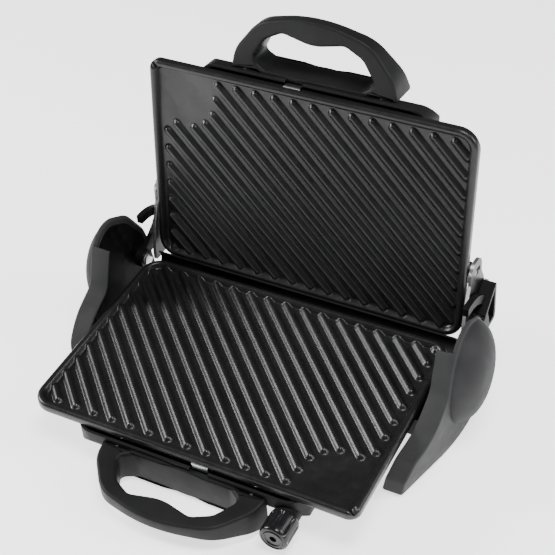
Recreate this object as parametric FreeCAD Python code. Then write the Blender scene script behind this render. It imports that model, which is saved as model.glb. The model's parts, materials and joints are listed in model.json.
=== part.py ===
"""Panini press (contact grill) with its lid standing open, as separate solids.

Each half of the press is laid out in its own grill frame: X to the right, Y
towards the hinge, Z along the plate's normal, with the plate's rim crest at
Z = 0 and the plate's centre at X = Y = 0. The lid half is the base half turned
over about Y and swung up about the hinge axis. At the end the whole press is
tipped so that its cheeks stand on the table, and centred over the origin.
All sizes are in millimetres.
"""
import os
from math import cos, hypot, pi, radians, sin, tan

import FreeCAD
import Part

# ---- Driving dimensions ----------------------------------------------------
PLATE_LENGTH = 300.0          # along X
PLATE_WIDTH = 200.0           # along Y
PLATE_THICKNESS = 8.0
PLATE_CORNER = 18.0
SPOUT_CORNER = 10.0           # the corner with the grease spout is tighter
RIM_WIDTH = 7.5
PAN_DEPTH = 5.0               # from the rim's crest to the cooking floor
RIDGE_COUNT = 26
RIDGE_STEP = 17.8             # along X, for ridges at 45 degrees
RIDGE_FIRST_X = -129.8        # where the first ridge meets the front row
RIDGE_RADIUS = 3.4
RIDGE_TOP = -1.8
RIDGE_FRONT = -86.3
RIDGE_BACK = 91.0
RIDGE_SIDE = 136.0

BODY_TILT = 7.7               # the base plate slopes down to the front
LID_OPEN = 97.7               # lid's angle from closed, as it stands here
RIM_GAP = 0.4                 # between the two rims when closed
TABLE_AT_CENTRE = -60.0       # table height under the plate's centre
PIVOT_Y = 103.1
PIVOT_Z = -9.3

SHELL_HALF_LENGTH = 106.0
SHELL_FRONT = -104.0
SHELL_BACK = 97.0
SHELL_TOP = -9.0
SHELL_DEPTH = -44.0
SHELL_WALL = 2.5
GUTTER_RADIUS = 10.45         # of the trough that closes the gap behind the plate
GUTTER_WALL = 1.5
GUTTER_HALF_LENGTH = 148.0
GUTTER_START, GUTTER_FINISH = -135.0, 50.0  # its sweep about the hinge, from +Y up

LINK_INNER_X = 151.3          # steel hinge links run beside the plates
LINK_OUTER_X = 154.3
CHEEK_INNER_X = 155.0
CHEEK_WALL_X = 168.3          # inner side of the cheek's outer wall
CHEEK_OUTER_X = 172.5
CHEEK_BAND = 3.0              # thickness of the rim around a cheek
LEG_BEND_RADIUS = 120.0       # a cheek's leg turns in from its head with this bend
LEG_BEND_START = 60.0         # from the head's centre, down along the leg
LEG_TAPER = 0.3               # inwards per length of leg
LEG_ANGLE = 40.5              # of the leg's run, from -Y down
DOME_HEIGHT = 19.0
DOME_HALF_WIDTH = 39.2        # along Y
DOME_HALF_HEIGHT = 48.4       # along Z
HEAD_Y = 73.7                 # centre of the cheek's round head and its dome
HEAD_Z = 2.0
COVER_LEAD_ANGLE = 38.0       # leading edge of the arm cover, from +Y up
NOTCH_ANGLE = COVER_LEAD_ANGLE + LID_OPEN + 0.8
REAR_OPEN_ANGLE = -80.0       # the cheek's rim ends here at the rear, from +Y up
FLOAT_TRAVEL = 8.0            # how far the lid rises for a thick sandwich
STUD_RADIUS = 3.2
STUD_CLOSED_Y = 36.5          # lid studs, with the lid closed
STUD_CLOSED_Z = 13.0
PIN_RADIUS = 4.0
SOCKET_RADIUS = 6.0           # raised seat of a pin on the cheek's outer wall
SOCKET_HEIGHT = 1.3
RUNNING_FIT = 0.05            # radial clearance

CLIP_X = 14.5
CLIP_WIDTH = 15.0
HOOK_TOP = -4.2               # of the clip's tongue, in its slot in the plate's skirt
KNOB_X = 92.0
KNOB_Z = -25.0
KNOB_RADIUS = 12.5
KNOB_FRONT = -128.5
KNOB_BACK = -106.0
SHAFT_RADIUS = 3.0
CORD_HOLE_RADIUS = 3.75
FOOT_HEIGHT = 1.6


# ---- Geometry helpers ------------------------------------------------------
def vector(x, y, z):
    return FreeCAD.Vector(x, y, z)


def side_point(x):
    """Maps an outline's (y, z) onto the plane at x."""
    return lambda y, z: vector(x, y, z)


def plan_point(z):
    """Maps an outline's (x, y) onto the level plane at z."""
    return lambda x, y: vector(x, y, z)


def front_point(y):
    """Maps an outline's (x, z) onto the upright plane at y."""
    return lambda x, z: vector(x, y, z)


def rounded_face(corners, place):
    """Face bounded by straight runs joined by tangent arcs.

    corners is a list of (a, b) or (a, b, radius).
    """
    count = len(corners)
    ends = []
    for i, corner in enumerate(corners):
        a, b = corner[:2]
        radius = corner[2] if len(corner) > 2 else 0.0
        if radius <= 0.0:
            ends.append(((a, b), None, (a, b)))
            continue
        before, after = corners[i - 1], corners[(i + 1) % count]
        in_length = hypot(before[0] - a, before[1] - b)
        out_length = hypot(after[0] - a, after[1] - b)
        u = ((before[0] - a) / in_length, (before[1] - b) / in_length)
        v = ((after[0] - a) / out_length, (after[1] - b) / out_length)
        cosine = u[0] * v[0] + u[1] * v[1]
        half_cosine = ((1 + cosine) / 2) ** 0.5
        half_sine = ((1 - cosine) / 2) ** 0.5
        setback = radius * half_cosine / half_sine
        w = (u[0] + v[0], u[1] + v[1])
        w_length = hypot(*w)
        reach = radius / half_sine - radius
        start = (a + u[0] * setback, b + u[1] * setback)
        middle = (a + w[0] / w_length * reach, b + w[1] / w_length * reach)
        finish = (a + v[0] * setback, b + v[1] * setback)
        ends.append((start, middle, finish))
    edges = []
    for i, (start, middle, finish) in enumerate(ends):
        if middle:
            arc = Part.Arc(place(*start), place(*middle), place(*finish))
            edges.append(arc.toShape())
        following = ends[(i + 1) % count][0]
        if hypot(following[0] - finish[0], following[1] - finish[1]) > 1e-6:
            edges.append(Part.LineSegment(place(*finish), place(*following)).toShape())
    return Part.Face(Part.Wire(edges))


def side_prism(corners, x0, x1):
    return rounded_face(corners, side_point(x0)).extrude(vector(x1 - x0, 0, 0))


def plan_prism(corners, z0, z1):
    return rounded_face(corners, plan_point(z0)).extrude(vector(0, 0, z1 - z0))


def front_prism(corners, y0, y1):
    return rounded_face(corners, front_point(y0)).extrude(vector(0, y1 - y0, 0))


def box(x0, x1, y0, y1, z0, z1):
    return Part.makeBox(x1 - x0, y1 - y0, z1 - z0, vector(x0, y0, z0))


def rod_x(radius, x0, x1, y, z):
    return Part.makeCylinder(radius, x1 - x0, vector(x0, y, z), vector(1, 0, 0))


def rod_y(radius, y0, y1, x, z):
    return Part.makeCylinder(radius, y1 - y0, vector(x, y0, z), vector(0, 1, 0))


def rod_z(radius, z0, z1, x, y):
    return Part.makeCylinder(radius, z1 - z0, vector(x, y, z0), vector(0, 0, 1))


def rounded_rectangle(x0, x1, y0, y1, radius):
    return [(x0, y0, radius), (x1, y0, radius), (x1, y1, radius), (x0, y1, radius)]


def mirrored(shape):
    """The same piece for the other side of the press."""
    return shape.mirror(vector(0, 0, 0), vector(1, 0, 0))


def polar(radius, angle):
    """Point (y, z) at a radius and an angle about the hinge axis, from +Y up."""
    return (PIVOT_Y + radius * cos(radians(angle)), PIVOT_Z + radius * sin(radians(angle)))


def table_height(y):
    """Height of the table in the grill frame, which is tipped against it."""
    return TABLE_AT_CENTRE - tan(radians(BODY_TILT)) * y


def sector(inner, outer, start, finish, x0, x1):
    """Ring sector about the hinge axis, from the start to the finish angle."""
    middle = (start + finish) / 2
    corners = [polar(inner, start), polar(outer, start), polar(outer, middle),
               polar(outer, finish), polar(inner, finish), polar(inner, middle)]
    a, b, c, d, e, f = [vector(x0, *point) for point in corners]
    edges = [Part.LineSegment(a, b).toShape(), Part.Arc(b, c, d).toShape(),
             Part.LineSegment(d, e).toShape(), Part.Arc(e, f, a).toShape()]
    return Part.Face(Part.Wire(edges)).extrude(vector(x1 - x0, 0, 0))


# ---- Grill plate -----------------------------------------------------------
def ridge_ends(index):
    """The two ends (x, y) of a ridge, which runs from back left to front right."""
    front_x = RIDGE_FIRST_X + index * RIDGE_STEP
    front = (front_x, RIDGE_FRONT)
    if front_x > RIDGE_SIDE:
        front = (RIDGE_SIDE, RIDGE_FRONT + front_x - RIDGE_SIDE)
    dish_x, dish_y, dish_radius = 118.0, -70.0, 30.0
    across = (front_x - dish_x + RIDGE_FRONT - dish_y) / 2 ** 0.5
    if abs(across) < dish_radius:
        chord = (dish_radius ** 2 - across ** 2) ** 0.5 / 2 ** 0.5
        middle_x = dish_x + across / 2 ** 0.5
        middle_y = dish_y + across / 2 ** 0.5
        front = (middle_x - chord, middle_y + chord)
    back = (front_x - (RIDGE_BACK - RIDGE_FRONT), RIDGE_BACK)
    if back[0] < -RIDGE_SIDE - 4.0:
        back = (-RIDGE_SIDE - 4.0, RIDGE_FRONT + front_x + RIDGE_SIDE + 4.0)
    return back, front


def ridge(back, front):
    """Round-topped bar with round ends, half sunk into the cooking floor."""
    centre_z = RIDGE_TOP - RIDGE_RADIUS
    start, finish = vector(*back, centre_z), vector(*front, centre_z)
    along = finish - start
    bar = Part.makeCylinder(RIDGE_RADIUS, along.Length, start, along)
    ends = [Part.makeSphere(RIDGE_RADIUS, point) for point in (start, finish)]
    return bar.multiFuse(ends)


def grill_plate():
    half_x, half_y = PLATE_LENGTH / 2, PLATE_WIDTH / 2
    outline = [(-half_x, -half_y, PLATE_CORNER), (half_x, -half_y, SPOUT_CORNER),
               (half_x, half_y, PLATE_CORNER), (-half_x, half_y, PLATE_CORNER)]
    plate = plan_prism(outline, -PLATE_THICKNESS, 0.0)
    top_edges = [edge for edge in plate.Edges if edge.BoundBox.ZMin > -0.01]
    plate = plate.makeFillet(2.2, top_edges)
    inner_x, inner_y = half_x - RIM_WIDTH, half_y - RIM_WIDTH
    pan = plan_prism([(-inner_x, -inner_y, 13.0), (inner_x, -inner_y, 7.0),
                      (inner_x, inner_y, 13.0), (-inner_x, inner_y, 13.0)],
                     -PAN_DEPTH, 1.0)
    floor_edges = [edge for edge in pan.Edges if edge.BoundBox.ZMax < -PAN_DEPTH + 0.01]
    plate = plate.cut(pan.makeFillet(2.5, floor_edges))
    groove_depth = 2.6
    groove = Part.makeCylinder(groove_depth, 40.0, vector(half_x - 30.0, 30.0 - half_y, 0.0),
                               vector(1, -1, 0))
    plate = plate.cut(groove)
    hook_slot = box(CLIP_X - CLIP_WIDTH / 2 - 1.5, CLIP_X + CLIP_WIDTH / 2 + 1.5,
                    -half_y - 1.0, -half_y + 2.2, HOOK_TOP - 1.3, HOOK_TOP + 0.3)
    plate = plate.cut(hook_slot)
    floor = box(-inner_x, inner_x, -inner_y, inner_y, -PLATE_THICKNESS, 1.0)
    ridges = [ridge(*ridge_ends(index)).common(floor) for index in range(RIDGE_COUNT)]
    return plate.multiFuse(ridges).removeSplitter()


# ---- Housings --------------------------------------------------------------
def shell_envelope(inset):
    """Outer form of a housing, drawn in by inset on every side but its top."""
    half = SHELL_HALF_LENGTH - inset
    front, back = SHELL_FRONT + inset, SHELL_BACK - inset
    depth = SHELL_DEPTH + inset
    top = SHELL_TOP + (1.0 if inset else 0.0)
    plan = plan_prism([(-half, front, 18.0 - inset), (half, front, 18.0 - inset),
                       (half, back, 10.0 - inset), (-half, back, 10.0 - inset)],
                      depth - 1.0, top)
    side = side_prism([(front, top), (front, -21.0 + inset / 2, 7.0),
                       (front + 27.0, depth, 16.0), (back, depth, 8.0), (back, top)],
                      -half - 1.0, half + 1.0)
    face = front_prism([(-half, top), (-half, depth, 16.0), (half, depth, 16.0), (half, top)],
                       front - 1.0, back + 1.0)
    return plan.common(side).common(face)


def housing():
    shell = shell_envelope(0.0).cut(shell_envelope(SHELL_WALL))
    clip_gap = box(CLIP_X - CLIP_WIDTH / 2 - 1.0, CLIP_X + CLIP_WIDTH / 2 + 1.0,
                   SHELL_FRONT - 1.0, SHELL_FRONT + 4.0, -12.5, 0.0)
    return shell.cut(clip_gap)


WING_FRONT, WING_BACK = 26.0, 88.0
WING_TOP, WING_BOTTOM = -21.0, -41.0
LUG_PLACES = ((34.0, -27.0), (58.0, -34.0), (80.0, -34.5))
LUG_RADIUS = 4.5
COVER_X, COVER_FRONT, COVER_BACK = 78.0, -55.0, 74.0
THERMOSTAT_FRONT, THERMOSTAT_BACK = -82.0, -58.0
GLAND_Y, GLAND_Z, GLAND_X = WING_BACK, -31.0, 134.0


def wing():
    """Hollow side box that carries a cheek on the end of the housing."""
    outer = box(SHELL_HALF_LENGTH - SHELL_WALL, LINK_INNER_X + 3.2, WING_FRONT, WING_BACK,
                WING_BOTTOM, WING_TOP)
    inner = box(SHELL_HALF_LENGTH - SHELL_WALL - 1.0, LINK_INNER_X, WING_FRONT + 2.5,
                WING_BACK - 2.5, WING_BOTTOM + 2.5, WING_TOP - 2.5)
    shape = outer.cut(inner)
    for y, z in LUG_PLACES:
        shape = shape.cut(rod_x(1.7, LINK_INNER_X - 1.0, CHEEK_INNER_X, y, z))
    return shape


def wing_passage(side):
    """Opening through the housing's end wall into a wing, for the wiring."""
    x0, x1 = SHELL_HALF_LENGTH - 6.0, SHELL_HALF_LENGTH + 1.0
    passage = box(x0, x1, WING_FRONT + 2.5, WING_BACK - 2.5, WING_BOTTOM + 8.0, WING_TOP - 2.5)
    return passage if side > 0 else mirrored(passage)


def base_shell():
    gutter = sector(GUTTER_RADIUS - GUTTER_WALL, GUTTER_RADIUS, GUTTER_START, GUTTER_FINISH,
                    -GUTTER_HALF_LENGTH, GUTTER_HALF_LENGTH)
    shape = housing().multiFuse([wing(), mirrored(wing()), gutter])
    for side in (1, -1):
        shape = shape.cut(wing_passage(side))
    boss = rod_y(10.0, SHELL_FRONT - 1.5, SHELL_FRONT + 19.0, KNOB_X, KNOB_Z)
    shape = shape.fuse(boss).cut(rod_y(SHAFT_RADIUS + 0.6, SHELL_FRONT - 3.0,
                                       SHELL_FRONT + 21.0, KNOB_X, KNOB_Z))
    opening = box(-COVER_X, COVER_X, COVER_FRONT, COVER_BACK, SHELL_DEPTH - 1.0,
                  SHELL_DEPTH + SHELL_WALL + 1.0)
    shape = shape.cut(opening)
    gland_seat = rod_y(7.0, WING_BACK - 3.0, WING_BACK + 1.0, GLAND_X, GLAND_Z)
    shape = shape.cut(gland_seat)
    for x in HANDLE_SCREW_X:
        shape = shape.cut(rod_y(1.65, SHELL_FRONT - 2.0, SHELL_FRONT + 4.0, x, HANDLE_SCREW_Z))
    return shape.removeSplitter()


def lid_shell():
    shape = housing()
    for x in HANDLE_SCREW_X:
        shape = shape.cut(rod_y(1.65, SHELL_FRONT - 2.0, SHELL_FRONT + 4.0, x, HANDLE_SCREW_Z))
    for index in range(-4, 5):
        slot = [(index * 9.0 - 1.5, 60.0, 1.4), (index * 9.0 + 1.5, 60.0, 1.4),
                (index * 9.0 + 1.5, 84.0, 1.4), (index * 9.0 - 1.5, 84.0, 1.4)]
        shape = shape.cut(plan_prism(slot, SHELL_DEPTH - 1.0, SHELL_DEPTH + 4.0))
    return shape


def bottom_cover():
    """Removable tray under the base, with cooling slots, screwed on from below."""
    top = SHELL_DEPTH + SHELL_WALL
    cover = box(-COVER_X + 0.4, COVER_X - 0.4, COVER_FRONT + 0.4, COVER_BACK - 0.4,
                SHELL_DEPTH, top)
    lip = box(-COVER_X - 6.0, COVER_X + 6.0, COVER_FRONT - 6.0, COVER_BACK + 6.0, top, top + 2.0)
    cover = cover.fuse(lip)
    for row in (-30.0, 10.0, 50.0):
        for index in range(-5, 6):
            x = index * 11.0
            slot = [(x - 1.8, row - 9.0, 1.7), (x + 1.8, row - 9.0, 1.7),
                    (x + 1.8, row + 9.0, 1.7), (x - 1.8, row + 9.0, 1.7)]
            cover = cover.cut(plan_prism(slot, SHELL_DEPTH - 1.0, top + 3.0))
    for x, y in cover_screw_places():
        cover = cover.cut(rod_z(1.7, SHELL_DEPTH - 1.0, top + 3.0, x, y))
    return cover.removeSplitter()


def cover_screw_places():
    return [(x, y) for x in (8.0 - COVER_X, COVER_X - 8.0)
            for y in (COVER_FRONT + 8.0, COVER_BACK - 8.0)]


def screw_z(x, y, head_z, tip_z, shaft_radius=1.6, head_radius=3.2, head_height=1.8):
    """Round-headed screw along Z, its head on the side away from the tip."""
    way = 1.0 if tip_z > head_z else -1.0
    axis = vector(0, 0, way)
    head = Part.makeCylinder(head_radius, head_height, vector(x, y, head_z - way * head_height), axis)
    shaft = Part.makeCylinder(shaft_radius, abs(tip_z - head_z), vector(x, y, head_z), axis)
    drive = Part.makeCylinder(0.9, 1.0, vector(x, y, head_z - way * head_height), axis)
    return head.fuse(shaft).cut(drive)


def bottom_cover_screws():
    return Part.Compound([screw_z(x, y, SHELL_DEPTH, SHELL_DEPTH + 8.0)
                          for x, y in cover_screw_places()])


# ---- Handles ---------------------------------------------------------------
HANDLE_REACH = 58.0           # from the plate's front edge
HANDLE_TOP = -12.0
HANDLE_SCREW_X = (-62.0, 62.0)
HANDLE_SCREW_Z = -14.3
HANDLE_SCREW_HEAD = 2.1


def handle():
    """D-shaped grip in line with the housing, thick at its root and thin outside."""
    front = -PLATE_WIDTH / 2
    root = SHELL_FRONT - 0.05
    outline = [(-75.5, root), (75.5, root), (72.0, front - 21.0, 34.0),
               (50.5, front - 48.5, 34.0), (0.0, front - HANDLE_REACH - 4.0, 110.0),
               (-50.5, front - 48.5, 34.0), (-72.0, front - 21.0, 34.0)]
    grip = plan_prism(outline, -46.0, HANDLE_TOP)
    side = side_prism([(root + 1.0, HANDLE_TOP), (root + 1.0, -24.0), (root - 3.0, -43.0, 4.0),
                       (front - HANDLE_REACH - 3.0, -22.5, 2.0),
                       (front - HANDLE_REACH - 3.0, HANDLE_TOP)], -90.0, 90.0)
    grip = grip.common(side)
    hole = [(-44.0, front - 6.0, 7.0), (-56.0, front - 14.0, 6.0), (-44.0, front - 34.0, 14.0),
            (-28.0, front - 42.5, 10.0), (0.0, front - 36.0, 40.0), (28.0, front - 42.5, 10.0),
            (44.0, front - 34.0, 14.0), (56.0, front - 14.0, 6.0), (44.0, front - 6.0, 7.0)]
    grip = grip.cut(plan_prism(hole, -60.0, 0.0))
    clip_room = box(CLIP_X - CLIP_WIDTH / 2 - 1.0, CLIP_X + CLIP_WIDTH / 2 + 1.0,
                    root - 3.0, root + 1.0, -12.6, 0.0)
    grip = grip.cut(clip_room)
    for x in HANDLE_SCREW_X:
        grip = grip.cut(rod_y(1.65, root - 9.0, root + 1.0, x, HANDLE_SCREW_Z))
    return grip


def handle_screws():
    screws = []
    for x in HANDLE_SCREW_X:
        inside = SHELL_FRONT + SHELL_WALL
        shaft = rod_y(1.6, SHELL_FRONT - 8.0, inside, x, HANDLE_SCREW_Z)
        screws.append(shaft.fuse(rod_y(HANDLE_SCREW_HEAD, inside, inside + 1.8, x, HANDLE_SCREW_Z)))
    return Part.Compound(screws)


def release_clip():
    """Sprung steel hook that enters the plate's skirt and slides out to free the plate."""
    x0, x1 = CLIP_X - CLIP_WIDTH / 2, CLIP_X + CLIP_WIDTH / 2
    front = -PLATE_WIDTH / 2
    profile = [(front + 1.6, HOOK_TOP - 1.0), (front + 1.6, HOOK_TOP, 0.4),
               (front - 1.4, HOOK_TOP, 1.1), (front - 1.4, -11.4, 1.1), (front + 14.5, -11.4),
               (front + 14.5, -10.4), (front - 0.4, -10.4, 0.2),
               (front - 0.4, HOOK_TOP - 1.0, 0.2)]
    return side_prism(profile, x0, x1)


# ---- Heating parts ---------------------------------------------------------
TRAY_FLOOR = -20.0
ELEMENT_Z = -14.4
ELEMENT_RADIUS = 3.2


def reflector():
    """Thin polished tray that throws the element's heat back at the plate."""
    outer = plan_prism(rounded_rectangle(-100.0, 100.0, -84.0, 92.0, 9.0), TRAY_FLOOR, -9.4)
    inner = plan_prism(rounded_rectangle(-99.0, 99.0, -83.0, 91.0, 8.0), TRAY_FLOOR + 1.0, 0.0)
    tray = outer.cut(inner)
    for x in (-70.0, 70.0):
        tray = tray.cut(rod_z(4.2, TRAY_FLOOR - 1.0, TRAY_FLOOR + 2.0, x, 76.0))
    return tray


def heating_element():
    """Sheathed element bent into one wide loop, its two cold ends turned down."""
    reach_x, front_y, back_y, bend = 70.0, -56.0, 76.0, 28.0
    z = ELEMENT_Z
    corner = bend * (1 - cos(radians(45)))
    drop = 8.0
    turn = 6.0
    tip = turn * (1 - cos(radians(45)))
    edges = [
        Part.LineSegment(vector(-reach_x, back_y, z - drop), vector(-reach_x, back_y, z - turn)),
        Part.Arc(vector(-reach_x, back_y, z - turn), vector(-reach_x, back_y - tip, z - tip),
                 vector(-reach_x, back_y - turn, z)),
        Part.LineSegment(vector(-reach_x, back_y - turn, z), vector(-reach_x, front_y + bend, z)),
        Part.Arc(vector(-reach_x, front_y + bend, z),
                 vector(-reach_x + corner, front_y + corner, z),
                 vector(-reach_x + bend, front_y, z)),
        Part.LineSegment(vector(-reach_x + bend, front_y, z), vector(reach_x - bend, front_y, z)),
        Part.Arc(vector(reach_x - bend, front_y, z),
                 vector(reach_x - corner, front_y + corner, z),
                 vector(reach_x, front_y + bend, z)),
        Part.LineSegment(vector(reach_x, front_y + bend, z), vector(reach_x, back_y - turn, z)),
        Part.Arc(vector(reach_x, back_y - turn, z), vector(reach_x, back_y - tip, z - tip),
                 vector(reach_x, back_y, z - turn)),
        Part.LineSegment(vector(reach_x, back_y, z - turn), vector(reach_x, back_y, z - drop)),
    ]
    path = Part.Wire([edge.toShape() for edge in edges])
    circle = Part.Wire([Part.Circle(vector(-reach_x, back_y, z - drop), vector(0, 0, 1),
                                    ELEMENT_RADIUS).toShape()])
    return path.makePipeShell([circle], True, True)


def element_brackets():
    """Saddles that hold the element off the reflector."""
    saddles = []
    for x in (-70.0, 70.0):
        for y in (-10.0, 40.0):
            post = box(x - 6.0, x + 6.0, y - 3.0, y + 3.0, TRAY_FLOOR + 1.0, ELEMENT_Z)
            saddles.append(post.cut(rod_y(ELEMENT_RADIUS + 0.02, y - 4.0, y + 4.0, x, ELEMENT_Z)))
    return Part.Compound(saddles)


def thermostat():
    body = box(KNOB_X - 8.5, KNOB_X + 8.5, THERMOSTAT_FRONT, THERMOSTAT_BACK, -34.0, -21.2)
    body = body.fuse(rod_y(4.8, THERMOSTAT_FRONT - 2.5, THERMOSTAT_FRONT, KNOB_X, KNOB_Z))
    bore = rod_y(SHAFT_RADIUS + RUNNING_FIT, THERMOSTAT_FRONT - 4.0, THERMOSTAT_FRONT + 8.0,
                 KNOB_X, KNOB_Z)
    tabs = [box(KNOB_X - 8.0 + 10.0 * n, KNOB_X - 2.0 + 10.0 * n, THERMOSTAT_BACK,
                THERMOSTAT_BACK + 8.0, -29.0, -28.2) for n in range(2)]
    return body.cut(bore).multiFuse(tabs)


def thermal_fuse():
    can = rod_x(2.0, -14.0, -2.0, 30.0, -26.0)
    leads = rod_x(0.5, -26.0, 10.0, 30.0, -26.0)
    return can.fuse(leads)


def terminal_block():
    block = box(124.0, 146.0, 34.0, 44.0, -38.4, -28.0)
    for x in (129.0, 135.0, 141.0):
        block = block.cut(rod_z(1.8, -32.0, -27.0, x, 39.0))
        block = block.cut(rod_y(1.4, 33.0, 45.0, x, -35.0))
    return block


def cord_gland():
    """Collar in the rear of the right wing that the supply cord enters by."""
    collar = rod_y(9.0, WING_BACK, WING_BACK + 5.0, GLAND_X, GLAND_Z)
    neck = rod_y(6.95, WING_BACK - 7.0, WING_BACK, GLAND_X, GLAND_Z)
    return collar.fuse(neck).cut(rod_y(CORD_HOLE_RADIUS, WING_BACK - 8.0, WING_BACK + 6.0,
                                       GLAND_X, GLAND_Z))


# ---- Control knob ----------------------------------------------------------
def control_knob():
    """Fluted knob with a shallow ring in its end face."""
    knob = rod_y(KNOB_RADIUS, KNOB_FRONT, KNOB_BACK, KNOB_X, KNOB_Z)
    rim = [edge for edge in knob.Edges if edge.BoundBox.YMax < KNOB_FRONT + 0.01]
    knob = knob.makeFillet(1.5, rim)
    flutes = []
    for index in range(8):
        angle = radians(22.5 + 45.0 * index)
        distance = KNOB_RADIUS + 4.6
        flutes.append(rod_y(5.6, KNOB_FRONT + 3.0, KNOB_BACK - 3.0, KNOB_X + distance * cos(angle),
                            KNOB_Z + distance * sin(angle)))
    for flute in flutes:
        knob = knob.cut(flute)
    ring = rod_y(9.0, KNOB_FRONT - 1.0, KNOB_FRONT + 0.8, KNOB_X, KNOB_Z)
    ring = ring.cut(rod_y(7.2, KNOB_FRONT - 1.0, KNOB_FRONT + 0.8, KNOB_X, KNOB_Z))
    socket = rod_y(SHAFT_RADIUS, KNOB_FRONT + 6.0, KNOB_BACK + 1.0, KNOB_X, KNOB_Z)
    return knob.cut(ring).cut(socket)


def knob_shaft():
    return rod_y(SHAFT_RADIUS, KNOB_FRONT + 6.0, THERMOSTAT_FRONT + 7.0, KNOB_X, KNOB_Z)


# ---- Cheeks (right side, mirrored for the left) ----------------------------
def cheek_outline():
    """Comma shape (y, z) of a cheek's outer edge."""
    toe_z = table_height(-28.5) + FOOT_HEIGHT
    heel_z = table_height(118.5) + FOOT_HEIGHT
    return [
        (-28.5, -36.0, 12.0), (-28.5, toe_z, 4.0), (118.5, heel_z, 8.0), (130.5, -44.0, 40.0),
        (122.0, 8.0, 44.0), (98.0, 44.0, 36.0), (66.0, 62.0, 25.0), (44.0, 50.0, 25.0),
        (31.5, 12.5, 14.0), (8.0, 0.5, 40.0), (-18.5, -14.5, 18.0),
    ]


def leg_slab(inner_x, outer_x):
    """Slab between two sides that turn in together along the cheek's leg."""
    reach = 150.0
    turned_in = LEG_TAPER * (reach - LEG_BEND_START)
    slab = plan_prism([(inner_x - turned_in, -reach), (outer_x - turned_in, -reach),
                       (outer_x, -LEG_BEND_START, LEG_BEND_RADIUS), (outer_x, reach),
                       (inner_x, reach), (inner_x, -LEG_BEND_START, LEG_BEND_RADIUS)],
                      -reach, reach)
    slab.rotate(vector(0, 0, 0), vector(1, 0, 0), LEG_ANGLE)
    slab.translate(vector(0, HEAD_Y, HEAD_Z))
    return slab


def cheek():
    """Hollow side leg, open to the inside, with a rim from its toe up to the notch."""
    outline = rounded_face(cheek_outline(), side_point(125.0))
    across = vector(60.0, 0, 0)
    solid = outline.extrude(across).common(leg_slab(CHEEK_INNER_X, CHEEK_OUTER_X))
    room = leg_slab(CHEEK_INNER_X - 30.0, CHEEK_WALL_X)
    hollow = outline.makeOffset2D(-CHEEK_BAND).extrude(across).common(room)
    shape = solid.cut(hollow)
    swing = sector(0.5, 110.0, REAR_OPEN_ANGLE, NOTCH_ANGLE, 140.0, CHEEK_WALL_X)
    shape = shape.cut(swing)
    lugs = [rod_x(LUG_RADIUS, CHEEK_INNER_X, CHEEK_WALL_X + 0.5, y, z) for y, z in LUG_PLACES]
    socket = rod_x(SOCKET_RADIUS, CHEEK_WALL_X - 1.2, CHEEK_OUTER_X + SOCKET_HEIGHT,
                   PIVOT_Y, PIVOT_Z)
    ribs = []
    for y in (24.0, 12.0):
        rib = box(CHEEK_INNER_X + 2.0, CHEEK_WALL_X + 0.5, y, y + 2.0, -62.0, 30.0)
        ribs.append(rib.common(solid))
    shape = shape.multiFuse(lugs + ribs + [socket])
    shape = shape.cut(rod_x(PIN_RADIUS, CHEEK_WALL_X - 3.0, CHEEK_OUTER_X + 1.0, PIVOT_Y, PIVOT_Z))
    for y, z in LUG_PLACES:
        shape = shape.cut(rod_x(1.4, CHEEK_INNER_X - 1.0, CHEEK_INNER_X + 9.0, y, z))
    return shape.removeSplitter()


def dome_bulge(inset):
    """Oval cap of a spheroid on the outside of a cheek's head, drawn in by inset."""
    sum_of_reach = DOME_HALF_WIDTH ** 2 / DOME_HEIGHT
    radius = (sum_of_reach + DOME_HEIGHT) / 2
    depth = (sum_of_reach - DOME_HEIGHT) / 2
    half_axis = radius * DOME_HALF_HEIGHT / DOME_HALF_WIDTH - inset
    ellipse = Part.Ellipse(vector(0, 0, half_axis), vector(radius - inset, 0, 0), vector(0, 0, 0))
    arc = Part.ArcOfEllipse(ellipse, 0.0, pi).toShape()
    chord = Part.LineSegment(vector(0, 0, -half_axis), vector(0, 0, half_axis)).toShape()
    spheroid = Part.Face(Part.Wire([arc, chord])).revolve(vector(0, 0, 0), vector(0, 0, 1), 360.0)
    spheroid.translate(vector(CHEEK_OUTER_X + 0.02 - depth, HEAD_Y, HEAD_Z))
    reach = half_axis + 5.0
    outside = box(CHEEK_OUTER_X + 0.02, CHEEK_OUTER_X + reach, HEAD_Y - reach, HEAD_Y + reach,
                  HEAD_Z - reach, HEAD_Z + reach)
    return spheroid.common(outside)


def dome_cap():
    """Bulging oval cover on the outside of a cheek's head, hollow inside."""
    base_x = CHEEK_OUTER_X + 0.02
    bulge = dome_bulge(0.0)
    pin_post = rod_x(SOCKET_RADIUS + 3.0, base_x, base_x + SOCKET_HEIGHT + 2.0, PIVOT_Y, PIVOT_Z)
    shell = bulge.cut(dome_bulge(2.5)).fuse(pin_post.common(bulge))
    return shell.cut(rod_x(SOCKET_RADIUS + 0.3, base_x - 1.0, base_x + SOCKET_HEIGHT + 0.3,
                           PIVOT_Y, PIVOT_Z))


def cheek_screws():
    screws = []
    for y, z in LUG_PLACES:
        shaft = rod_x(1.4, LINK_INNER_X, CHEEK_INNER_X + 8.0, y, z)
        screws.append(shaft.fuse(rod_x(2.9, LINK_INNER_X - 1.6, LINK_INNER_X, y, z)))
    return Part.Compound(screws)


def hinge_pin():
    """Headed steel pin pressed into the cheek, carrying an arm."""
    pin = rod_x(PIN_RADIUS, 157.4, CHEEK_OUTER_X + 0.8, PIVOT_Y, PIVOT_Z)
    return pin.fuse(rod_x(6.0, 155.6, 157.4, PIVOT_Y, PIVOT_Z))


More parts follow.
